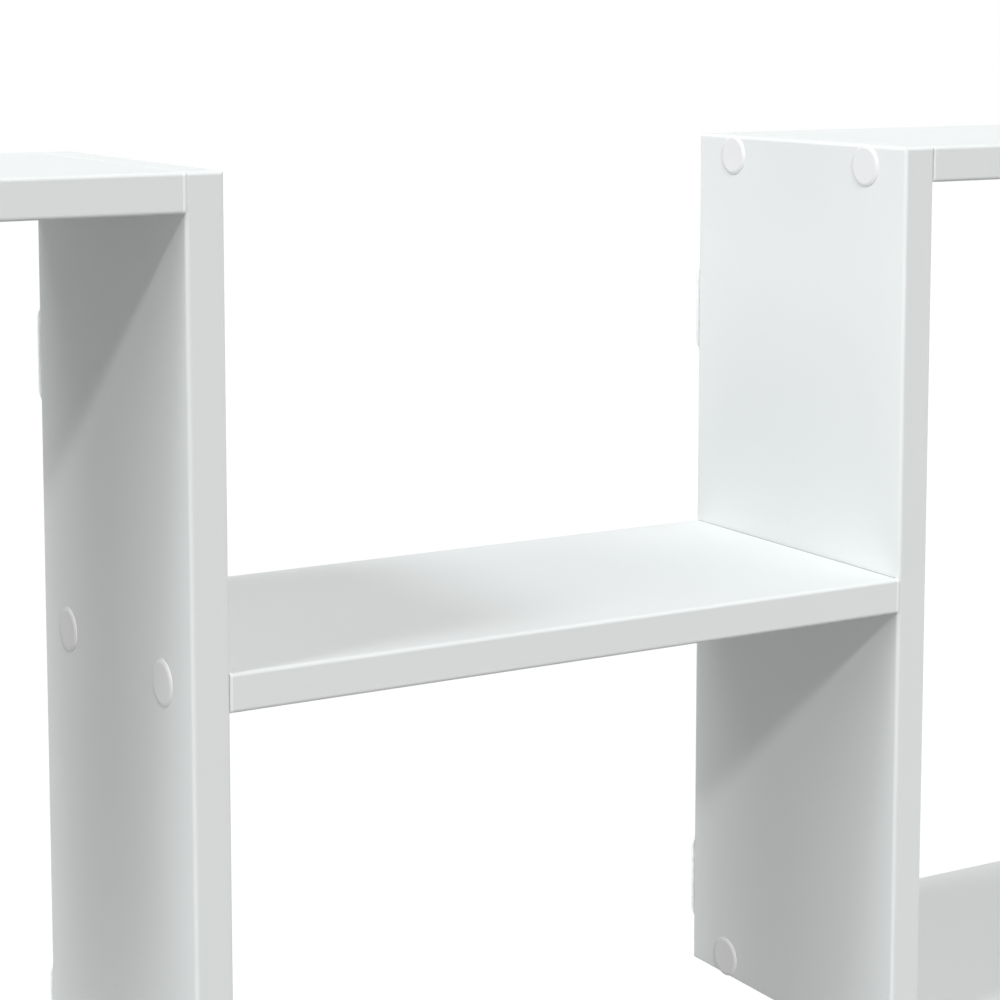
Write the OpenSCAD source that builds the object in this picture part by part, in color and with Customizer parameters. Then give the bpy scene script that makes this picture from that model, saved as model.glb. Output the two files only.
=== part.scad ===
// White coated wall shelf: two closed-frame boxes joined by one centre shelf.
// X runs along the wall, -Y is the front, +Z is up, and the origin lies under the middle of the whole.

/* [Shelf] */
// Clear width of each of the three bays
bay_w = 310; // [260:5:420]
// Depth of the boards, front edge to back edge
depth = 150; // [130:5:260]
// Height from the top of the centre shelf to the top of the panels
upper_h = 183; // [150:1:300]
// Height from the foot of the panels to the underside of the centre shelf
lower_h = 200; // [160:1:300]
// Thickness of the coated chipboard
board_t = 15; // [15:0.5:19]

/* [Edge band] */
// Thickness of the plastic band on the cut edges
band_t = 2; // [1.6:0.1:2.5]
// Radius that the band's outer edges are rounded to
edge_r = 1.5; // [0.3:0.1:1.5]

/* [Connecting screws] */
// Overall length of a connecting screw
screw_l = 50; // [40:1:60]
// Diameter of its countersunk head
screw_head_d = 10; // [9:0.5:11]
// Height of the straight rim of the head
screw_rim_h = 1; // [0.5:0.1:2]
// Diameter of the plain shank under the head
screw_shank_d = 7; // [6:0.5:8]
// Diameter of the threaded stretch's core
screw_core_d = 4.8; // [4:0.1:5.5]
// Length of the pointed tip
screw_tip_l = 3; // [2:0.5:5]
// Width across flats of the hexagon socket
socket_af = 4; // [3:0.5:4]
// Depth of the hexagon socket
socket_deep = 3; // [2:0.5:4]
// Distance of a screw's axis from the front or back edge
screw_inset = 27; // [20:1:40]

/* [Dowels] */
// Diameter of a beech dowel
dowel_d = 8; // [6:1:9]
// Length of a dowel
dowel_l = 30; // [25:1:40]
// Stretch of a dowel that sits in the panel
dowel_in_panel = 10; // [8:0.5:11]
// Chamfer on a dowel's ends
dowel_chamfer = 1; // [0.5:0.1:1.5]

/* [Cover caps] */
// Diameter of a cover cap
cap_d = 18; // [15:0.5:20]
// Thickness of a cover cap
cap_t = 0.8; // [0.8:0.1:1.5]
// Radius on the rim of a cover cap
cap_rim_r = 0.6; // [0.3:0.1:0.7]

/* [Hanger plates] */
// Width of a hanger plate
plate_w = 16; // [14:0.5:18]
// Height of a hanger plate
plate_h = 45; // [42:0.5:60]
// Thickness of its sheet steel
plate_t = 1.2; // [1:0.1:1.5]
// Distance of an upper plate's middle from the top of the panels
upper_plate_drop = 82; // [60:1:110]
// Distance of a lower plate's middle from the foot of the panels
lower_plate_rise = 40; // [35:1:80]
// Diameter of the keyhole's entry
key_entry_d = 9; // [8:0.5:10]
// Width of the keyhole's slot
key_slot_w = 4.5; // [4:0.1:5.5]
// Travel from the entry's middle to the end of the slot
key_travel = 10; // [9:0.5:11]
// Width of the routed pocket behind the keyhole
pocket_w = 10; // [9:0.5:11]
// Depth of the routed pocket from the panel's back edge
pocket_deep = 8; // [6:0.5:12]

/* [Plate screws] */
// Overall length of a plate screw
pin_l = 16; // [12:1:25]
// Diameter of its countersunk head
pin_head_d = 6.8; // [6:0.1:7.5]
// Diameter of its threaded core
pin_core_d = 2.4; // [2:0.1:3]
// Length of its pointed tip
pin_tip_l = 3; // [2:0.5:4]
// Distance between a plate's two screws
pin_pitch = 32; // [31:0.5:34]

/* [Fits] */
// Clearance all round a screw, dowel or head in its hole
fit_gap = 0.1; // [0.05:0.05:0.2]
// Spare depth at the end of a blind hole
hole_spare = 1; // [0.5:0.5:2]

/* [Hidden] */
$fn = 64;

panel_white = "#f1f2f2";
band_white = "#eceeed";
cap_white = "#f6f6f6";
steel = "#b9bdc1";
beech = "#d9b98a";

// Heights
panel_h = lower_h + board_t + upper_h;
top_z = panel_h - board_t;
top_mid = panel_h - board_t / 2;
low_mid = board_t / 2;
shelf_mid = lower_h + board_t / 2;

// Faces of the panels, measured from the middle of the shelf
half_bay = bay_w / 2;
inner_x = half_bay + board_t;
outer_x = inner_x + bay_w;
half_w = outer_x + board_t;

// Front and back faces, centred with the plates that stand off the back
front_y = -(depth + plate_t) / 2;
back_y = front_y + depth;
mid_y = (front_y + back_y) / 2;
core_front = front_y + band_t;
core_depth = depth - 2 * band_t;

// Places of the connecting screws in depth
screw_ys = [front_y + screw_inset, back_y - screw_inset];

// A board's two ends: the face that the screw heads lie in, and the way the screws point
centre_ends = [[-inner_x, 1], [inner_x, -1]];
left_ends = [[-half_w, 1], [-half_bay, -1]];
right_ends = [[half_bay, 1], [half_w, -1]];

// Middles of the four panels
left_outer_mid = -(outer_x + board_t / 2);
left_inner_mid = -(half_bay + board_t / 2);
right_inner_mid = half_bay + board_t / 2;
right_outer_mid = outer_x + board_t / 2;

// Heights of the hanger plates
upper_plate_z = panel_h - upper_plate_drop;
lower_plate_z = lower_plate_rise;

// Overshoot of a cutting solid past the face that it cuts
over = 1;
// Clearance measured square to a cone's 45 degree flank, along the radius
cone_gap = fit_gap * sqrt(2);

// Puts its children at a board's end, with +Z pointing from the screw heads into the board
module at_end(end, z) {
    translate([end[0], 0, z]) rotate([0, end[1] * 90, 0]) children();
}

// Puts its children on a panel's back edge, with +Z pointing at the wall and +Y up
module at_back(x, z) {
    translate([x, back_y, z]) rotate([90, 0, 180]) children();
}

// Outline with straight sides and two round ends, upright
module stadium(w, h) {
    for (s = [-1, 1]) translate([0, s * (h - w) / 2]) circle(d = w);
    translate([-w / 2, -(h - w) / 2]) square([w, h - w]);
}

// Connecting screw, head at z = 0 and point towards +Z
module connecting_screw() {
    head_r = screw_head_d / 2;
    shank_r = screw_shank_d / 2;
    core_r = screw_core_d / 2;
    cone_end = screw_rim_h + head_r - shank_r;
    difference() {
        rotate_extrude() polygon([
            [0, 0], [head_r, 0], [head_r, screw_rim_h], [shank_r, cone_end],
            [shank_r, board_t], [core_r, board_t],
            [core_r, screw_l - screw_tip_l], [core_r / 3, screw_l], [0, screw_l]
        ]);
        translate([0, 0, -over])
            cylinder(d = socket_af / cos(30), h = socket_deep + over, $fn = 6);
    }
}

// Stepped hole that the connecting screw goes into, through the panel and on into the board
module connecting_hole() {
    head_r = screw_head_d / 2 + fit_gap;
    shank_r = screw_shank_d / 2 + fit_gap;
    core_r = screw_core_d / 2 + fit_gap;
    cone_start = screw_rim_h + cone_gap - fit_gap;
    end = screw_l + hole_spare;
    rotate_extrude() polygon([
        [0, -over], [head_r, -over], [head_r, cone_start], [shank_r, cone_start + head_r - shank_r],
        [shank_r, board_t], [core_r, board_t], [core_r, end], [0, end]
    ]);
}

// Dowel with chamfered ends, in the same frame as the screw
module dowel() {
    r = dowel_d / 2;
    z0 = board_t - dowel_in_panel;
    z1 = z0 + dowel_l;
    rotate_extrude() polygon([
        [0, z0], [r - dowel_chamfer, z0], [r, z0 + dowel_chamfer],
        [r, z1 - dowel_chamfer], [r - dowel_chamfer, z1], [0, z1]
    ]);
}

module dowel_hole() {
    translate([0, 0, board_t - dowel_in_panel - hole_spare])
        cylinder(d = dowel_d + 2 * fit_gap, h = dowel_l + 2 * hole_spare);
}

// Self-adhesive cover cap with a rounded rim, on the face at z = 0
module cover_cap() {
    r = cap_d / 2;
    translate([0, 0, -cap_t]) rotate_extrude() {
        square([r - cap_rim_r, cap_t]);
        translate([0, cap_rim_r]) square([r, cap_t - cap_rim_r]);
        intersection() {
            translate([r - cap_rim_r, cap_rim_r]) circle(r = cap_rim_r);
            square([r, cap_rim_r]);
        }
    }
}

// Everything that is bored for the joint at one end of a board
module end_holes(end, z) {
    at_end(end, z) {
        for (y = screw_ys) translate([0, y, 0]) connecting_hole();
        translate([0, mid_y, 0]) dowel_hole();
    }
}

module screw_set(ends, z) {
    color(steel) for (end = ends) at_end(end, z)
        for (y = screw_ys) translate([0, y, 0]) connecting_screw();
}

module dowel_set(ends, z) {
    color(beech) for (end = ends) at_end(end, z) translate([0, mid_y, 0]) dowel();
}

// A cap keeps inside the end of its panel, so it sits a little off the screw's axis there
function cap_level(z) = min(max(z, cap_d / 2), panel_h - cap_d / 2);

module cap_set(ends, z) {
    color(cap_white) for (end = ends) at_end(end, cap_level(z))
        for (y = screw_ys) translate([0, y, 0]) cover_cap();
}

// Section of the edge band: x across the board, y outward from the chipboard
module band_section() {
    half = board_t / 2;
    translate([-half, 0]) square([board_t, band_t - edge_r]);
    translate([edge_r - half, 0]) square([board_t - 2 * edge_r, band_t]);
    intersection() {
        for (s = [-1, 1]) translate([s * (half - edge_r), band_t - edge_r]) circle(r = edge_r);
        translate([-half, 0]) square([board_t, band_t]);
    }
}

module band_strip(l) {
    linear_extrude(l) band_section();
}

// Rectangle with round corners, its lower left corner at the origin
module rounded(w, h, r) {
    translate([r, 0]) square([w - 2 * r, h]);
    translate([0, r]) square([w, h - 2 * r]);
    for (x = [r, w - r], y = [r, h - r]) translate([x, y]) circle(r = r);
}

// One panel's whole body, every outer edge rounded over
module panel_body(x) {
    translate([x - board_t / 2, front_y, 0]) intersection() {
        linear_extrude(panel_h) rounded(board_t, depth, edge_r);
        translate([0, depth, 0]) rotate([90, 0, 0])
            linear_extrude(depth) rounded(board_t, panel_h, edge_r);
        rotate([90, 0, 90]) linear_extrude(board_t) rounded(depth, panel_h, edge_r);
    }
}

// Front, back, top and foot bands of one panel: the body around the chipboard
module panel_bands(x) {
    difference() {
        panel_body(x);
        translate([x - board_t / 2 - over, core_front, band_t])
            cube([board_t + 2 * over, core_depth, panel_h - 2 * band_t]);
    }
}

// Chipboard core of one panel
module panel_core(x) {
    translate([x - board_t / 2, core_front, band_t])
        cube([board_t, core_depth, panel_h - 2 * band_t]);
}

// Core of one board of a bay, from its left end at x and its underside at z
module board_core(x, z) {
    translate([x, core_front, z]) cube([bay_w, core_depth, board_t]);
}

// Front and back bands of one board
module board_bands(x, z) {
    mid = z + board_t / 2;
    translate([x, core_front, mid]) rotate([180, -90, 0]) band_strip(bay_w);
    translate([x, back_y - band_t, mid]) rotate([0, 90, 0]) band_strip(bay_w);
}

// Countersunk plate screw, head at z = 0 and point towards +Z
module plate_screw() {
    head_r = pin_head_d / 2;
    core_r = pin_core_d / 2;
    rotate_extrude() polygon([
        [0, 0], [head_r, 0], [core_r, head_r - core_r],
        [core_r, pin_l - pin_tip_l], [core_r / 6, pin_l], [0, pin_l]
    ]);
}

module plate_screw_hole() {
    mouth_r = pin_head_d / 2 + cone_gap;
    core_r = pin_core_d / 2 + fit_gap;
    end = pin_l + hole_spare;
    rotate_extrude() polygon([
        [0, -over], [mouth_r + over, -over], [core_r, mouth_r - core_r], [core_r, end], [0, end]
    ]);
}

// Both screw places of a plate, with +Z pointing into the panel from the plate's outer face
module at_plate_screws() {
    for (s = [-1, 1]) translate([0, s * pin_pitch / 2, plate_t]) rotate([180, 0, 0]) children();
}

// Entry hole below and narrow slot above
module keyhole() {
    translate([0, -key_travel / 2]) {
        circle(d = key_entry_d);
        translate([-key_slot_w / 2, 0]) square([key_slot_w, key_travel]);
    }
    translate([0, key_travel / 2]) circle(d = key_slot_w);
}

module hanger_plate(x, z) {
    color(steel) at_back(x, z) difference() {
        linear_extrude(plate_t) difference() {
            stadium(plate_w, plate_h);
            keyhole();
        }
        at_plate_screws() plate_screw_hole();
    }
}

module hanger_screws(x, z) {
    color(steel) at_back(x, z) at_plate_screws() plate_screw();
}

// Pocket for the wall screw's head, and the holes for the plate's own screws
module hanger_cuts(x) {
    for (z = [upper_plate_z, lower_plate_z]) at_back(x, z) {
        translate([0, 0, -pocket_deep]) linear_extrude(pocket_deep + over)
            stadium(pocket_w, pocket_w + key_travel);
        at_plate_screws() plate_screw_hole();
    }
}

// Outer panels: bored for one box's two boards
module outer_panel(x, ends_index, ends) {
    color(panel_white) difference() {
        panel_core(x);
        for (z = [top_mid, low_mid]) end_holes(ends[ends_index], z);
    }
}

// Inner panels: bored for a box's two boards, the centre shelf and the hanger plates
module inner_panel(x, box_end, shelf_end) {
    color(panel_white) difference() {
        panel_core(x);
        for (z = [top_mid, low_mid]) end_holes(box_end, z);
        end_holes(shelf_end, shelf_mid);
        hanger_cuts(x);
    }
}

module outer_edging(x) {
    color(band_white) panel_bands(x);
}

module inner_edging(x) {
    color(band_white) difference() {
        panel_bands(x);
        hanger_cuts(x);
    }
}

module board(x, z, ends) {
    color(panel_white) difference() {
        board_core(x, z);
        for (end = ends) end_holes(end, z + board_t / 2);
    }
}

module board_edging(x, z) {
    color(band_white) board_bands(x, z);
}

module left_outer_panel() { outer_panel(left_outer_mid, 0, left_ends); }
module left_inner_panel() { inner_panel(left_inner_mid, left_ends[1], centre_ends[0]); }
module right_inner_panel() { inner_panel(right_inner_mid, right_ends[0], centre_ends[1]); }
module right_outer_panel() { outer_panel(right_outer_mid, 1, right_ends); }

module left_outer_edging() { outer_edging(left_outer_mid); }
module left_inner_edging() { inner_edging(left_inner_mid); }
module right_inner_edging() { inner_edging(right_inner_mid); }
module right_outer_edging() { outer_edging(right_outer_mid); }

module left_top_board() { board(-outer_x, top_z, left_ends); }
module left_lower_board() { board(-outer_x, 0, left_ends); }
module right_top_board() { board(inner_x, top_z, right_ends); }
module right_lower_board() { board(inner_x, 0, right_ends); }
module centre_shelf() { board(-half_bay, lower_h, centre_ends); }

module left_top_edging() { board_edging(-outer_x, top_z); }
module left_lower_edging() { board_edging(-outer_x, 0); }
module right_top_edging() { board_edging(inner_x, top_z); }
module right_lower_edging() { board_edging(inner_x, 0); }
module centre_shelf_edging() { board_edging(-half_bay, lower_h); }

module left_top_screws() { screw_set(left_ends, top_mid); }
module left_lower_screws() { screw_set(left_ends, low_mid); }
module right_top_screws() { screw_set(right_ends, top_mid); }
module right_lower_screws() { screw_set(right_ends, low_mid); }
module centre_shelf_screws() { screw_set(centre_ends, shelf_mid); }

module left_top_dowels() { dowel_set(left_ends, top_mid); }
module left_lower_dowels() { dowel_set(left_ends, low_mid); }
module right_top_dowels() { dowel_set(right_ends, top_mid); }
module right_lower_dowels() { dowel_set(right_ends, low_mid); }
module centre_shelf_dowels() { dowel_set(centre_ends, shelf_mid); }

module left_top_caps() { cap_set(left_ends, top_mid); }
module left_lower_caps() { cap_set(left_ends, low_mid); }
module right_top_caps() { cap_set(right_ends, top_mid); }
module right_lower_caps() { cap_set(right_ends, low_mid); }
module centre_shelf_caps() { cap_set(centre_ends, shelf_mid); }

module left_upper_hanger() { hanger_plate(left_inner_mid, upper_plate_z); }
module left_lower_hanger() { hanger_plate(left_inner_mid, lower_plate_z); }
module right_upper_hanger() { hanger_plate(right_inner_mid, upper_plate_z); }
module right_lower_hanger() { hanger_plate(right_inner_mid, lower_plate_z); }

module left_upper_hanger_screws() { hanger_screws(left_inner_mid, upper_plate_z); }
module left_lower_hanger_screws() { hanger_screws(left_inner_mid, lower_plate_z); }
module right_upper_hanger_screws() { hanger_screws(right_inner_mid, upper_plate_z); }
module right_lower_hanger_screws() { hanger_screws(right_inner_mid, lower_plate_z); }

left_outer_panel();
left_inner_panel();
right_inner_panel();
right_outer_panel();
left_outer_edging();
left_inner_edging();
right_inner_edging();
right_outer_edging();
left_top_board();
left_lower_board();
right_top_board();
right_lower_board();
centre_shelf();
left_top_edging();
left_lower_edging();
right_top_edging();
right_lower_edging();
centre_shelf_edging();
left_top_screws();
left_lower_screws();
right_top_screws();
right_lower_screws();
centre_shelf_screws();
left_top_dowels();
left_lower_dowels();
right_top_dowels();
right_lower_dowels();
centre_shelf_dowels();
left_top_caps();
left_lower_caps();
right_top_caps();
right_lower_caps();
centre_shelf_caps();
left_upper_hanger();
left_lower_hanger();
right_upper_hanger();
right_lower_hanger();
left_upper_hanger_screws();
left_lower_hanger_screws();
right_upper_hanger_screws();
right_lower_hanger_screws();
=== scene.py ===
import math

import bmesh
import bpy
from mathutils import Matrix, Vector


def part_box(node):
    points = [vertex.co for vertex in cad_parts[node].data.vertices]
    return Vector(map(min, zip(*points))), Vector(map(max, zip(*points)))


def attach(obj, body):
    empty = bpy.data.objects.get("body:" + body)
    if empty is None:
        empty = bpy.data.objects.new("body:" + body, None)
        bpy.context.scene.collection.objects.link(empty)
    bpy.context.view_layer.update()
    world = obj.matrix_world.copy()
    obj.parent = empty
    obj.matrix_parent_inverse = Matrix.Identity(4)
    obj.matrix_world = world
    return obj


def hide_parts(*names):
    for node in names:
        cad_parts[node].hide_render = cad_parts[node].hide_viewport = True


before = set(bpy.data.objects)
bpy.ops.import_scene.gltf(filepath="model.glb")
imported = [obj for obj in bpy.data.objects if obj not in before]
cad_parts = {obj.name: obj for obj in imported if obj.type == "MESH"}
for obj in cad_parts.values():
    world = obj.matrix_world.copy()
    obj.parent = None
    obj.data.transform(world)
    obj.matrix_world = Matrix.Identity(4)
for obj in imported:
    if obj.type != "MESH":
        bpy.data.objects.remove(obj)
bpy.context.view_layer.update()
mm = 0.001
mergeGap = 0.0005 * mm
pureWhite = (1, 1, 1, 1)
print("frame loaded, nodes:", len(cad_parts))

panels = ("left_outer", "left_inner", "right_inner", "right_outer")
boards = {"left_top": "left_top_board", "left_lower": "left_lower_board",
          "right_top": "right_top_board", "right_lower": "right_lower_board",
          "centre_shelf": "centre_shelf"}
hangers = ("left_upper_hanger", "left_lower_hanger", "right_upper_hanger", "right_lower_hanger")


# camera: the photograph's place, in front of the left box's outer end and a little above it
camera = {
    "place": (-0.5317, -0.9100, 0.4537),
    "turnRight": 30.443,  # degrees from +Y towards +X
    "lookDown": 6.392,
    "lens": 92.25,
    "sensor": 36.0,
    "shiftY": -0.20,
    "near": 0.05,
    "far": 60.0,
}


def makeCamera():
    data = bpy.data.cameras.new("camera")
    data.lens = camera["lens"]
    data.sensor_width = camera["sensor"]
    data.shift_y = camera["shiftY"]
    data.clip_start = camera["near"]
    data.clip_end = camera["far"]
    cam = bpy.data.objects.new("camera", data)
    cam.location = camera["place"]
    cam.rotation_euler = (
        math.radians(90 - camera["lookDown"]), 0, -math.radians(camera["turnRight"]))
    bpy.context.scene.collection.objects.link(cam)
    bpy.context.scene.camera = cam


makeCamera()
print("camera placed")


def linear(hexColour):
    parts = [int(hexColour[i:i + 2], 16) / 255 for i in (1, 3, 5)]
    return [p / 12.92 if p <= 0.04045 else ((p + 0.055) / 1.055) ** 2.4 for p in parts] + [1.0]


def addNode(tree, kind, values=None, links=None, **settings):
    node = tree.nodes.new(kind)
    for name, value in settings.items():
        setattr(node, name, value)
    for key, value in (values or {}).items():
        node.inputs[key].default_value = value
    for key, socket in (links or {}).items():
        tree.links.new(socket, node.inputs[key])
    return node


# lights: a small lamp in front casts the crisp slanting shadows under the boards, one on
# the left the soft shadow along the shelf, a lower one brings up the left faces, one from
# below reaches under the shelf, and a weak one on the right opens the faces there; turn is
# from the front towards the right, rise is above the level, and angle is the lamp's width
lights = {
    "front": {"turn": -16.0, "rise": 39.3, "angle": 5.0, "strength": 1.67, "colour": "#FFFFFF"},
    "left": {"turn": -86.5, "rise": 51.5, "angle": 15.0, "strength": 0.94, "colour": "#F1FAFF"},
    "low": {"turn": -88.0, "rise": 24.0, "angle": 30.0, "strength": 1.22, "colour": "#FFFFFF"},
    "under": {"turn": -90.0, "rise": -40.0, "angle": 30.0, "strength": 0.37, "colour": "#FFFFFF"},
    "right": {"turn": 68.0, "rise": -4.0, "angle": 50.0, "strength": 0.75, "colour": "#FFFFFF"},
}
room = {"colour": "#FFFFFF", "strength": 0.355}
floor = {"level": -0.60, "half": 15.0, "bounce": "#787878", "shadowShare": 0.35}


def makeLights():
    for name, lamp in lights.items():
        data = bpy.data.lights.new(name, "SUN")
        data.energy = lamp["strength"]
        data.angle = math.radians(lamp["angle"])
        data.color = linear(lamp["colour"])[:3]
        data.cycles.use_multiple_importance_sampling = False  # or the floor takes its light
        sun = bpy.data.objects.new(name, data)
        turn, rise = math.radians(lamp["turn"]), math.radians(lamp["rise"])
        towards = Vector((math.sin(turn) * math.cos(rise), -math.cos(turn) * math.cos(rise),
                          math.sin(rise)))
        sun.rotation_euler = towards.to_track_quat("Z", "Y").to_euler()
        bpy.context.scene.collection.objects.link(sun)


# 1 for the rays that show the background: straight to the camera, mirrored or through glass
def seenDirectly(tree):
    ray = addNode(tree, "ShaderNodeLightPath")
    seen = addNode(tree, "ShaderNodeMath", operation="MAXIMUM",
                   links={0: ray.outputs["Is Camera Ray"], 1: ray.outputs["Is Glossy Ray"]})
    seen = addNode(tree, "ShaderNodeMath", operation="MAXIMUM",
                   links={0: seen.outputs[0], 1: ray.outputs["Is Transmission Ray"]})
    return seen.outputs[0]


def makeRoom():
    world = bpy.data.worlds.new("room")
    bpy.context.scene.world = world
    world.use_nodes = True
    tree = world.node_tree
    tree.nodes.clear()
    fill = addNode(tree, "ShaderNodeBackground",
                   {"Color": linear(room["colour"]), "Strength": room["strength"]})
    white = addNode(tree, "ShaderNodeBackground", {"Color": pureWhite, "Strength": 1.0})
    mix = addNode(tree, "ShaderNodeMixShader",
                  links={0: seenDirectly(tree), 1: fill.outputs[0], 2: white.outputs[0]})
    addNode(tree, "ShaderNodeOutputWorld", links={"Surface": mix.outputs[0]})


# the floor looks white and keeps a light shadow, but gives back only a part of its light
def makeFloor():
    bm = bmesh.new()
    bmesh.ops.create_grid(bm, x_segments=1, y_segments=1, size=floor["half"])
    bmesh.ops.translate(bm, verts=bm.verts, vec=(0, 0, floor["level"]))
    mesh = bpy.data.meshes.new("floor")
    bm.to_mesh(mesh)
    bm.free()
    obj = bpy.data.objects.new("floor", mesh)
    bpy.context.scene.collection.objects.link(obj)
    obj.visible_shadow = False  # lets the lamp from below through
    material = bpy.data.materials.new("paleFloor")
    material.use_nodes = True
    tree = material.node_tree
    tree.nodes.clear()
    seen = seenDirectly(tree)
    bounce = addNode(tree, "ShaderNodeBsdfDiffuse", {"Color": linear(floor["bounce"])})
    lit = addNode(tree, "ShaderNodeBsdfDiffuse", {"Color": pureWhite})
    white = addNode(tree, "ShaderNodeEmission", {"Color": pureWhite, "Strength": 1.0})
    shown = addNode(tree, "ShaderNodeMixShader", {0: floor["shadowShare"]},
                    links={1: white.outputs[0], 2: lit.outputs[0]})
    mix = addNode(tree, "ShaderNodeMixShader",
                  links={0: seen, 1: bounce.outputs[0], 2: shown.outputs[0]})
    addNode(tree, "ShaderNodeOutputMaterial", links={"Surface": mix.outputs[0]})
    mesh.materials.append(material)


makeLights()
makeRoom()
makeFloor()
bpy.context.scene.view_settings.view_transform = "Standard"
print("lights, room and floor made")


def startMaterial(name, shaderValues):
    material = bpy.data.materials.new(name)
    material.use_nodes = True
    tree = material.node_tree
    tree.nodes.clear()
    place = addNode(tree, "ShaderNodeTexCoord").outputs["Object"]
    shader = addNode(tree, "ShaderNodeBsdfPrincipled", shaderValues)
    addNode(tree, "ShaderNodeOutputMaterial", links={"Surface": shader.outputs[0]})
    return material, tree, place, shader


def grain(size):
    return 1 / (size * mm)  # texture scale whose cells are this many millimetres across


# melamine-faced chipboard, pressed between satin plates: an even cool white with a faint
# pearl that only breaks up the gloss, and tan flakes where a hole or pocket cuts the core
melamine = {
    "white": "#E8EAE9",
    "whiteShade": "#E6E8E7",
    "cloud": 70,  # millimetres across a cloud of slightly greyer white
    "pearl": 0.9,  # the real pearl is about 0.3 mm, drawn coarser so that it shows
    "pearlHeight": 0.004,
    "roughness": (0.46, 0.56),
    "specular": 0.25,  # satin plates leave less gloss than polished plastic
    "skin": 0.3,  # the film and the white-dusted chips under it
    "flake": 2.6,
    "chip": ("#9C7A50", "#C4A271", "#DCC298"),
    "chipRoughness": 0.9,
    "chipHeight": 0.12,
    "joint": "#8B8E8D",  # painted shade: the hairline of shade where a board butts against a panel's face
    "sealed": "#E8EAE9",  # a flush board's end is painted, or chips would show in the joint
    "endWidth": 0.6,
}


# 1 within a strip at both ends of a board that runs along X
def endStrip(tree, place, middle, half, width):
    along = addNode(tree, "ShaderNodeSeparateXYZ", links={0: place}).outputs[0]
    offset = addNode(tree, "ShaderNodeMath", {1: middle}, {0: along}, operation="SUBTRACT")
    reach = addNode(tree, "ShaderNodeMath", links={0: offset.outputs[0]}, operation="ABSOLUTE")
    return addNode(tree, "ShaderNodeMath", {1: half - width * mm}, {0: reach.outputs[0]},
                   operation="GREATER_THAN").outputs[0]


def makeBoardMaterial(name, axis, middle, half, length=None, end=None):
    m = melamine
    material, tree, place, shader = startMaterial(name, {"Specular IOR Level": m["specular"]})
    across = addNode(tree, "ShaderNodeSeparateXYZ", links={0: place}).outputs[axis]
    offset = addNode(tree, "ShaderNodeMath", {1: middle}, {0: across}, operation="SUBTRACT")
    depth = addNode(tree, "ShaderNodeMath", links={0: offset.outputs[0]}, operation="ABSOLUTE")
    face = addNode(tree, "ShaderNodeMath", {1: half - m["skin"] * mm}, {0: depth.outputs[0]},
                   operation="GREATER_THAN").outputs[0]
    cloud = addNode(tree, "ShaderNodeTexNoise", {"Scale": grain(m["cloud"]), "Detail": 2.0},
                    {"Vector": place})
    white = addNode(tree, "ShaderNodeMix", {6: linear(m["white"]), 7: linear(m["whiteShade"])},
                    {0: cloud.outputs[0]}, data_type="RGBA").outputs[2]
    flakes = addNode(tree, "ShaderNodeTexVoronoi", {"Scale": grain(m["flake"])},
                     {"Vector": place})
    chips = addNode(tree, "ShaderNodeValToRGB", links={0: flakes.outputs["Color"]})
    chips.color_ramp.elements[0].color = linear(m["chip"][0])
    chips.color_ramp.elements[1].color = linear(m["chip"][2])
    chips.color_ramp.elements.new(0.5).color = linear(m["chip"][1])
    colour = addNode(tree, "ShaderNodeMix", data_type="RGBA",
                     links={0: face, 6: chips.outputs[0], 7: white}).outputs[2]
    # a strip at both ends of the board: painted shade on the shelf and lower boards, plain white
    # on the top boards
    if length:
        strip = endStrip(tree, place, *length, m["endWidth"])
        colour = addNode(tree, "ShaderNodeMix", {7: linear(m[end])}, {0: strip, 6: colour},
                         data_type="RGBA").outputs[2]
    pearl = addNode(tree, "ShaderNodeTexNoise", {"Scale": grain(m["pearl"]), "Detail": 2.0},
                    {"Vector": place})
    satin = addNode(tree, "ShaderNodeMapRange",
                    {3: m["roughness"][0], 4: m["roughness"][1]}, {0: pearl.outputs[0]})
    roughness = addNode(tree, "ShaderNodeMix", {2: m["chipRoughness"]},
                        {0: face, 3: satin.outputs[0]})
    height = addNode(tree, "ShaderNodeMix", links={
        0: face, 2: flakes.outputs["Distance"], 3: pearl.outputs[0]})
    reach = addNode(tree, "ShaderNodeMix", {2: m["chipHeight"] * mm, 3: m["pearlHeight"] * mm},
                    {0: face})
    bump = addNode(tree, "ShaderNodeBump", links={
        "Height": height.outputs[0], "Distance": reach.outputs[0]})
    tree.links.new(colour, shader.inputs["Base Color"])
    tree.links.new(roughness.outputs[0], shader.inputs["Roughness"])
    tree.links.new(bump.outputs[0], shader.inputs["Normal"])
    return material


# ABS edge band, glued on and milled round: the boards' white a shade smoother, and paler at its
# cut ends, a painted highlight for the light line that a rounded end catches
edgeBand = {
    "white": "#E8EAE9",
    "whiteShade": "#E6E8E7",
    "cloud": 45,
    "mill": 0.7,  # the cutter's real marks are finer, drawn coarser so that they show
    "millHeight": 0.003,
    "roughness": (0.43, 0.51),
    "specular": 0.25,
    "paintedHighlight": "#F7F8F7",
    "paintedHighlightWidth": 1.0,
}


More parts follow.
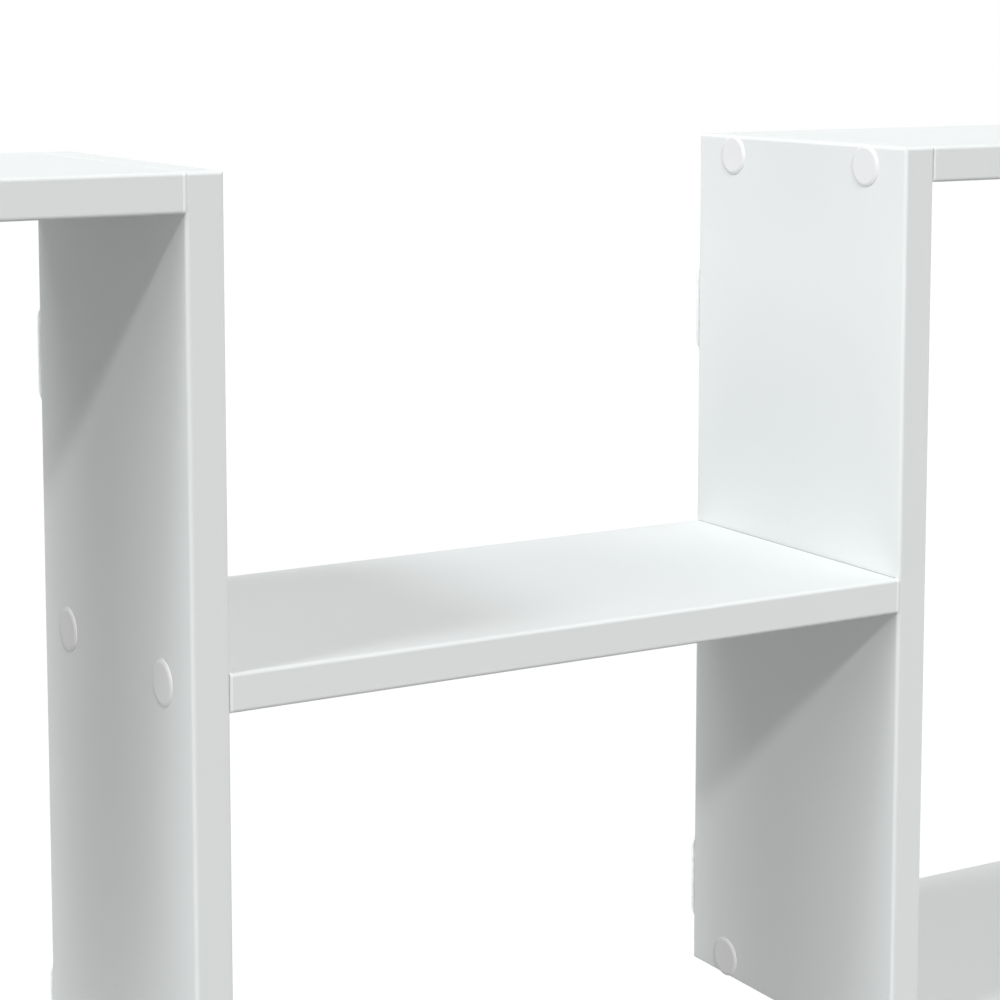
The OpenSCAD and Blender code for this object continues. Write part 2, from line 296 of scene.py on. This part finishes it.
def makeBandMaterial(name, length=None):
    m = edgeBand
    material, tree, place, shader = startMaterial(name, {"Specular IOR Level": m["specular"]})
    cloud = addNode(tree, "ShaderNodeTexNoise", {"Scale": grain(m["cloud"]), "Detail": 2.0},
                    {"Vector": place})
    white = addNode(tree, "ShaderNodeMix", {6: linear(m["white"]), 7: linear(m["whiteShade"])},
                    {0: cloud.outputs[0]}, data_type="RGBA").outputs[2]
    # painted highlight: a paler strip at both cut ends of a board's band
    if length:
        paintedHighlight = endStrip(tree, place, *length, m["paintedHighlightWidth"])
        white = addNode(tree, "ShaderNodeMix", {7: linear(m["paintedHighlight"])},
                        {0: paintedHighlight, 6: white}, data_type="RGBA").outputs[2]
    mill = addNode(tree, "ShaderNodeTexNoise", {"Scale": grain(m["mill"]), "Detail": 1.0},
                   {"Vector": place})
    satin = addNode(tree, "ShaderNodeMapRange",
                    {3: m["roughness"][0], 4: m["roughness"][1]}, {0: mill.outputs[0]})
    bump = addNode(tree, "ShaderNodeBump", {"Distance": m["millHeight"] * mm},
                   {"Height": mill.outputs[0]})
    tree.links.new(white, shader.inputs["Base Color"])
    tree.links.new(satin.outputs[0], shader.inputs["Roughness"])
    tree.links.new(bump.outputs[0], shader.inputs["Normal"])
    return material


# moulded polystyrene caps: a neutral white beside the boards' cool one, with a fine
# moulded grain that keeps the gloss as low as theirs
capPlastic = {
    "white": "#EAE9E9",
    "whiteShade": "#E8E7E7",
    "cloud": 12,
    "skin": 0.6,
    "skinHeight": 0.003,
    "roughness": (0.44, 0.52),
    "specular": 0.25,
}


def makeCapMaterial():
    m = capPlastic
    material, tree, place, shader = startMaterial(
        "whiteMouldedPolystyrene", {"Specular IOR Level": m["specular"]})
    cloud = addNode(tree, "ShaderNodeTexNoise", {"Scale": grain(m["cloud"]), "Detail": 2.0},
                    {"Vector": place})
    whites = addNode(tree, "ShaderNodeMix", {6: linear(m["white"]), 7: linear(m["whiteShade"])},
                     {0: cloud.outputs[0]}, data_type="RGBA")
    skin = addNode(tree, "ShaderNodeTexNoise", {"Scale": grain(m["skin"]), "Detail": 1.0},
                   {"Vector": place})
    gloss = addNode(tree, "ShaderNodeMapRange",
                    {3: m["roughness"][0], 4: m["roughness"][1]}, {0: skin.outputs[0]})
    bump = addNode(tree, "ShaderNodeBump", {"Distance": m["skinHeight"] * mm},
                   {"Height": skin.outputs[0]})
    tree.links.new(whites.outputs[2], shader.inputs["Base Color"])
    tree.links.new(gloss.outputs[0], shader.inputs["Roughness"])
    tree.links.new(bump.outputs[0], shader.inputs["Normal"])
    return material


# zinc-plated steel: a pale, cool metal, the sheet satin with faint spangle and rolling
# marks, the screws a little greyer and barely marked
zincSheet = {"zinc": "#F2F4F4", "dull": "#E8EBEB", "spangle": 3.5, "patch": (0.35, 0.65),
             "scratch": 0.5, "stretch": 14, "height": 0.002, "roughness": (0.44, 0.54)}
zincScrew = {"zinc": "#D2D4D5", "dull": "#BDC0C2", "spangle": 1.6, "patch": (0.35, 0.65),
             "scratch": 0.4, "stretch": 3, "height": 0.003, "roughness": (0.24, 0.36)}


def makeZincMaterial(name, m):
    material, tree, place, shader = startMaterial(name, {"Metallic": 1.0})
    spangle = addNode(tree, "ShaderNodeTexNoise", {"Scale": grain(m["spangle"]), "Detail": 3.0},
                      {"Vector": place})
    patch = addNode(tree, "ShaderNodeMapRange", {1: m["patch"][0], 2: m["patch"][1]},
                    {0: spangle.outputs[0]})
    zinc = addNode(tree, "ShaderNodeMix", {6: linear(m["zinc"]), 7: linear(m["dull"])},
                   {0: patch.outputs[0]}, data_type="RGBA")
    along = addNode(tree, "ShaderNodeMapping", {"Scale": (1, 1, 1 / m["stretch"])},
                    {"Vector": place})
    scratch = addNode(tree, "ShaderNodeTexNoise", {"Scale": grain(m["scratch"]), "Detail": 2.0},
                      {"Vector": along.outputs[0]})
    sheen = addNode(tree, "ShaderNodeMapRange",
                    {3: m["roughness"][0], 4: m["roughness"][1]}, {0: scratch.outputs[0]})
    bump = addNode(tree, "ShaderNodeBump", {"Distance": m["height"] * mm},
                   {"Height": scratch.outputs[0]})
    tree.links.new(zinc.outputs[2], shader.inputs["Base Color"])
    tree.links.new(sheen.outputs[0], shader.inputs["Roughness"])
    tree.links.new(bump.outputs[0], shader.inputs["Normal"])
    return material


# turned beech: pinkish tan with growth bands and short darker rays along the dowel
beech = {"light": "#DDBE94", "dark": "#C9A274", "ray": "#A87B4F", "band": 2.4, "rayWidth": 0.35,
         "rays": (0.60, 0.70), "stretch": 7, "height": 0.03, "roughness": (0.55, 0.72)}


def makeBeechMaterial():
    m = beech
    material, tree, place, shader = startMaterial("turnedBeech", {})
    along = addNode(tree, "ShaderNodeMapping", {"Scale": (1 / m["stretch"], 1, 1)},
                    {"Vector": place})
    bands = addNode(tree, "ShaderNodeTexNoise", {"Scale": grain(m["band"]), "Detail": 3.0},
                    {"Vector": along.outputs[0]})
    wood = addNode(tree, "ShaderNodeMix", {6: linear(m["light"]), 7: linear(m["dark"])},
                   {0: bands.outputs[0]}, data_type="RGBA")
    rays = addNode(tree, "ShaderNodeTexNoise", {"Scale": grain(m["rayWidth"]), "Detail": 1.0},
                   {"Vector": along.outputs[0]})
    flecks = addNode(tree, "ShaderNodeMapRange", {1: m["rays"][0], 2: m["rays"][1]},
                     {0: rays.outputs[0]})
    colour = addNode(tree, "ShaderNodeMix", {7: linear(m["ray"])},
                     {0: flecks.outputs[0], 6: wood.outputs[2]}, data_type="RGBA")
    dry = addNode(tree, "ShaderNodeMapRange",
                  {3: m["roughness"][0], 4: m["roughness"][1]}, {0: bands.outputs[0]})
    bump = addNode(tree, "ShaderNodeBump", {"Distance": m["height"] * mm},
                   {"Height": rays.outputs[0]})
    tree.links.new(colour.outputs[2], shader.inputs["Base Color"])
    tree.links.new(dry.outputs[0], shader.inputs["Roughness"])
    tree.links.new(bump.outputs[0], shader.inputs["Normal"])
    return material


def middleAndHalf(node, axis):
    low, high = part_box(node)
    return (low[axis] + high[axis]) / 2, (high[axis] - low[axis]) / 2


def giveMaterial(node, material):
    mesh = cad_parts[node].data
    mesh.materials.clear()
    mesh.materials.append(material)


bandMaterial = makeBandMaterial("whiteAbsEdgeBand")
capMaterial = makeCapMaterial()
sheetMaterial = makeZincMaterial("zincPlatedSheet", zincSheet)
screwMaterial = makeZincMaterial("zincPlatedScrewSteel", zincScrew)
beechMaterial = makeBeechMaterial()
for panel in panels:
    node = panel + "_panel"
    giveMaterial(node, makeBoardMaterial("whiteMelamineChipboard." + panel, 0,
                                         *middleAndHalf(node, 0)))
    giveMaterial(panel + "_edging", bandMaterial)
for group, node in boards.items():
    length = middleAndHalf(node, 0)
    # painted shade at the ends of the shelf and lower boards, plain white at the top boards' ends
    end = "sealed" if group.endswith("_top") else "joint"
    giveMaterial(node, makeBoardMaterial("whiteMelamineChipboard." + group, 2,
                                         *middleAndHalf(node, 2), length, end))
    giveMaterial(group + "_edging", makeBandMaterial("whiteAbsEdgeBand." + group, length))
    giveMaterial(group + "_caps", capMaterial)
    giveMaterial(group + "_screws", screwMaterial)
    giveMaterial(group + "_dowels", beechMaterial)
for hanger in hangers:
    giveMaterial(hanger, sheetMaterial)
    giveMaterial(hanger + "_screws", screwMaterial)
print("materials made:", len(bpy.data.materials))


def mergedCopy(node):
    bm = bmesh.new()
    bm.from_mesh(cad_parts[node].data)
    bmesh.ops.remove_doubles(bm, verts=bm.verts, dist=mergeGap)
    return bm


# lowest and highest corners of each separate solid of a node, always in the same order
def solidBoxes(node):
    bm = mergedCopy(node)
    waiting = set(bm.verts)
    boxes = []
    for start in bm.verts:
        if start not in waiting:
            continue
        waiting.discard(start)
        group = [start]
        for vert in group:
            for edge in vert.link_edges:
                other = edge.other_vert(vert)
                if other in waiting:
                    waiting.discard(other)
                    group.append(other)
        low, high = (Vector([pick(v.co[i] for v in group) for i in range(3)])
                     for pick in (min, max))
        boxes.append((low, high))
    bm.free()
    return sorted(boxes, key=lambda box: tuple(round(c, 5) for c in box[0]))


def shadeByAngle(bm, degrees):
    bmesh.ops.recalc_face_normals(bm, faces=bm.faces)
    for face in bm.faces:
        face.smooth = True
    for edge in bm.edges:
        edge.smooth = edge.is_manifold and edge.calc_face_angle() < math.radians(degrees)


def addPiece(name, bm, material, slot, *nodes):
    mesh = bpy.data.meshes.new(name)
    bm.to_mesh(mesh)
    bm.free()
    mesh.materials.append(material)
    obj = bpy.data.objects.new(name, mesh)
    bpy.context.scene.collection.objects.link(obj)
    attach(obj, "root")
    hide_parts(*nodes)
    return obj


# one mesh of the same shape at several places
def repeated(shape, places):
    whole = bmesh.new()
    mesh = bpy.data.meshes.new("part")
    shape.to_mesh(mesh)
    shape.free()
    for place in places:
        start = len(whole.verts)
        whole.from_mesh(mesh)
        whole.verts.ensure_lookup_table()
        bmesh.ops.transform(whole, matrix=place, verts=whole.verts[start:])
    bpy.data.meshes.remove(mesh)
    return whole


# millimetres along X of the panels' faces that look left, and of those that look right
leftFaces, rightFaces = ([round(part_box(panel + "_panel")[side][0] / mm) for panel in panels]
                         for side in (0, 1))


# a solid's box starts or ends on a panel's face, and +Z points from there into the board
# for a screw, and away from the panel for a cap
def facing(box, intoBoard):
    low, high = box
    fromLow = round(low.x / mm) in (leftFaces if intoBoard else rightFaces)
    turn = math.radians(90 if fromLow else -90)
    spot = Vector((low.x if fromLow else high.x, (low.y + high.y) / 2, (low.z + high.z) / 2))
    return Matrix.Translation(spot) @ Matrix.Rotation(turn, 4, "Y")


# cover caps: thin discs with a low wall, a shallow sloping rim and a barely dished middle
cap = {"around": 96, "wall": 0.3, "slope": 1.4, "soften": 0.25, "steps": 4, "ring": 1.0,
       "dish": 0.03}


def makeCap(radius, height):
    wall = cap["wall"] * mm
    bm = bmesh.new()
    bmesh.ops.create_cone(bm, cap_ends=True, segments=cap["around"], radius1=radius,
                          radius2=radius, depth=wall)
    bmesh.ops.translate(bm, verts=bm.verts, vec=(0, 0, wall / 2))
    top = max(bm.faces, key=lambda face: face.normal.z)
    bmesh.ops.inset_region(bm, faces=[top], thickness=cap["slope"] * mm, depth=height - wall)
    loops = [e for e in bm.edges if min(v.co.z for v in e.verts) > wall / 2
             and abs(e.verts[0].co.z - e.verts[1].co.z) < wall / 2]
    bmesh.ops.bevel(bm, geom=loops, offset=cap["soften"] * mm, offset_type="OFFSET",
                    segments=cap["steps"], profile=0.5, affect="EDGES", material=-1)
    top = max(bm.faces, key=lambda face: face.calc_center_median().z + face.normal.z)
    bmesh.ops.inset_region(bm, faces=[top], thickness=cap["ring"] * mm,
                           depth=-cap["dish"] * mm)
    shadeByAngle(bm, degrees=40)
    return bm


def makeCaps():
    for group in boards:
        boxes = solidBoxes(group + "_caps")
        low, high = boxes[0]
        shape = makeCap((high.y - low.y) / 2, high.x - low.x)
        places = [facing(box, False) for box in boxes]
        addPiece(group + "_capDiscs", repeated(shape, places), capMaterial, "cover_cap",
                 group + "_caps")


makeCaps()
print("cover caps made")


# turns a profile of (radius, height) points in millimetres once round Z
def lathe(bm, profile, around):
    verts = [bm.verts.new((r * mm, 0, z * mm)) for r, z in profile]
    edges = [bm.edges.new(pair) for pair in zip(verts, verts[1:])]
    bmesh.ops.spin(bm, geom=verts + edges, cent=(0, 0, 0), axis=(0, 0, 1), angle=math.tau,
                   steps=around, use_merge=True)
    bmesh.ops.remove_doubles(bm, verts=bm.verts, dist=mergeGap)


# a helical ridge with a flat crest, faded out over half a turn at both ends
def addThread(bm, t):
    foot, top = t["core"] / 2 - t["sunk"], t["thread"] / 2
    half, flat = t["ridge"] / 2, t["crest"] / 2
    points = ((foot, -half), (top, -flat), (top, flat), (foot, half))
    verts = [bm.verts.new((r * mm, 0, (t["threadStart"] + z) * mm)) for r, z in points]
    edges = [bm.edges.new(pair) for pair in zip(verts, verts[1:] + verts[:1])]
    before = set(bm.verts) - set(verts)
    bmesh.ops.spin(bm, geom=verts + edges, cent=(0, 0, 0), axis=(0, 0, 1),
                   dvec=(0, 0, t["pitch"] / t["threadSteps"] * mm),
                   angle=math.tau * t["turns"], steps=t["turns"] * t["threadSteps"])
    end = t["threadStart"] + t["turns"] * t["pitch"]
    for vert in bm.verts:
        radius = vert.co.xy.length / mm
        if vert in before or radius < (foot + top) / 2:
            continue
        fromEnd = min(vert.co.z / mm - t["threadStart"], end - vert.co.z / mm)
        grown = min(1, max(t["fade"], fromEnd / t["pitch"] * 2))
        vert.co.xy *= (foot + (radius - foot) * grown) / radius
    bmesh.ops.holes_fill(bm, edges=[e for e in bm.edges if e.is_boundary], sides=8)


# connecting screw for chipboard: countersunk head with a hexagon socket, plain shank
# through the panel, coarse thread in the board
connector = {"head": 10, "rim": 1, "shank": 7, "shankEnd": 15, "core": 4.8, "length": 50,
             "tip": 3, "point": 1.6, "socket": 4, "socketDepth": 3, "around": 36,
             "thread": 6.6, "ridge": 1.3, "crest": 0.24, "sunk": 0.15, "pitch": 3,
             "threadStart": 18.5, "turns": 9, "threadSteps": 18, "fade": 0.1}


def makeConnector():
    c = connector
    head, shank, core = c["head"] / 2, c["shank"] / 2, c["core"] / 2
    bm = bmesh.new()
    lathe(bm, [(head, 0), (head, c["rim"]), (shank, c["rim"] + head - shank),
               (shank, c["shankEnd"]), (core, c["shankEnd"]), (core, c["length"] - c["tip"]),
               (c["point"] / 2, c["length"]), (0, c["length"])], c["around"])
    rim = [e for e in bm.edges if e.is_boundary]
    ring = bmesh.ops.create_circle(bm, cap_ends=False, segments=6,
                                   radius=c["socket"] / 2 / math.cos(math.pi / 6) * mm)
    hexagon = list({e for v in ring["verts"] for e in v.link_edges})
    bmesh.ops.bridge_loops(bm, edges=rim + hexagon)
    sunk = bmesh.ops.extrude_edge_only(bm, edges=hexagon)["geom"]
    bmesh.ops.translate(bm, verts=[v for v in sunk if isinstance(v, bmesh.types.BMVert)],
                        vec=(0, 0, c["socketDepth"] * mm))
    bmesh.ops.holes_fill(bm, edges=[e for e in bm.edges if e.is_boundary], sides=8)
    addThread(bm, c)
    shadeByAngle(bm, degrees=30)
    return bm


# fluted dowel with chamfered ends
dowel = {"diameter": 8, "length": 30, "chamfer": 1, "flutes": 20, "fluteDepth": 0.3}


def makeDowel():
    d = dowel
    radius, half = d["diameter"] / 2, d["length"] / 2
    bm = bmesh.new()
    lathe(bm, [(0, -half), (radius - d["chamfer"], -half), (radius, d["chamfer"] - half),
               (radius, half - d["chamfer"]), (radius - d["chamfer"], half), (0, half)],
          d["flutes"] * 4)
    for vert in bm.verts:
        turn = math.atan2(vert.co.y, vert.co.x) / math.tau * d["flutes"] * 4
        if round(turn) % 4 == 0 and vert.co.xy.length > (radius - d["chamfer"] / 2) * mm:
            vert.co.xy *= (radius - d["fluteDepth"]) / radius
    shadeByAngle(bm, degrees=25)
    return bm


def makeJoints():
    screw, pin = makeConnector(), makeDowel()
    for group in boards:
        places = [facing(box, True) for box in solidBoxes(group + "_screws")]
        addPiece(group + "_connectors", repeated(screw.copy(), places), screwMaterial,
                 "screw_steel", group + "_screws")
        places = [Matrix.Translation((low + high) / 2) @ Matrix.Rotation(math.pi / 2, 4, "Y")
                  for low, high in solidBoxes(group + "_dowels")]
        addPiece(group + "_pins", repeated(pin.copy(), places), beechMaterial,
                 "beech_dowel", group + "_dowels")
    screw.free()
    pin.free()


makeJoints()
print("connecting screws and dowels made")


# keyhole hanger plates: stamped sheet, so its edges are very slightly rolled
plate = {"edge": 0.12, "steps": 2, "flatBelow": 0.5, "sharpAbove": 60}


def makePlates():
    for node in hangers:
        bm = mergedCopy(node)
        bmesh.ops.dissolve_limit(bm, angle_limit=math.radians(plate["flatBelow"]),
                                 verts=bm.verts, edges=bm.edges)
        sharp = [e for e in bm.edges if e.is_manifold and e.is_convex
                 and e.calc_face_angle() > math.radians(plate["sharpAbove"])]
        bmesh.ops.bevel(bm, geom=sharp, offset=plate["edge"] * mm, offset_type="OFFSET",
                        segments=plate["steps"], profile=0.5, affect="EDGES", material=-1)
        shadeByAngle(bm, degrees=30)
        addPiece(node + "_plate", bm, sheetMaterial, "hanger_steel", node)


# countersunk plate screws with a tapered cross recess
plateScrew = {"head": 6.8, "lip": 0.2, "draft": 0.12, "core": 2.4, "length": 16, "tip": 3,
              "point": 0.4, "around": 32, "arm": 0.9, "armReach": 2.0, "recess": 1.1,
              "taper": 0.7, "thread": 3.4, "ridge": 0.6, "crest": 0.24, "sunk": 0.15,
              "pitch": 1.25, "threadStart": 3.4, "turns": 8, "threadSteps": 14, "fade": 0.1}


def makePlateScrew():
    p = plateScrew
    head, core = p["head"] / 2, p["core"] / 2
    bm = bmesh.new()
    lathe(bm, [(head, 0), (head - p["draft"], p["lip"]), (core, head - core),
               (core, p["length"] - p["tip"]), (p["point"] / 2, p["length"]),
               (0, p["length"])], p["around"])
    rim = [e for e in bm.edges if e.is_boundary]
    grid = bmesh.ops.create_grid(bm, x_segments=3, y_segments=3, size=p["armReach"] * mm)
    for vert in grid["verts"]:
        for i in (0, 1):
            if abs(vert.co[i]) < p["armReach"] / 2 * mm:
                vert.co[i] = math.copysign(p["arm"] / 2 * mm, vert.co[i])
    outline = list({e for v in grid["verts"] for e in v.link_edges if e.is_boundary})
    cross = [f for f in {f for v in grid["verts"] for f in v.link_faces}
             if min(abs(c) for c in f.calc_center_median().xy) < p["arm"] / 2 * mm]
    bmesh.ops.bridge_loops(bm, edges=rim + outline)
    sunk = bmesh.ops.extrude_face_region(bm, geom=cross)["geom"]
    bmesh.ops.delete(bm, geom=[f for f in cross if f.is_valid], context="FACES_ONLY")
    floorVerts = [v for v in sunk if isinstance(v, bmesh.types.BMVert)]
    bmesh.ops.scale(bm, verts=floorVerts, vec=(p["taper"], p["taper"], 1))
    bmesh.ops.translate(bm, verts=floorVerts, vec=(0, 0, p["recess"] * mm))
    addThread(bm, p)
    shadeByAngle(bm, degrees=30)
    return bm


def makePlateScrews():
    shape = makePlateScrew()
    for node in hangers:
        places = []
        for low, high in solidBoxes(node + "_screws"):
            spot = Vector(((low.x + high.x) / 2, high.y, (low.z + high.z) / 2))
            places.append(Matrix.Translation(spot) @ Matrix.Rotation(math.pi / 2, 4, "X"))
        addPiece(node + "_pins", repeated(shape.copy(), places), screwMaterial,
                 "screw_steel", node + "_screws")
    shape.free()


makePlates()
makePlateScrews()
print("hanger plates and their screws made")
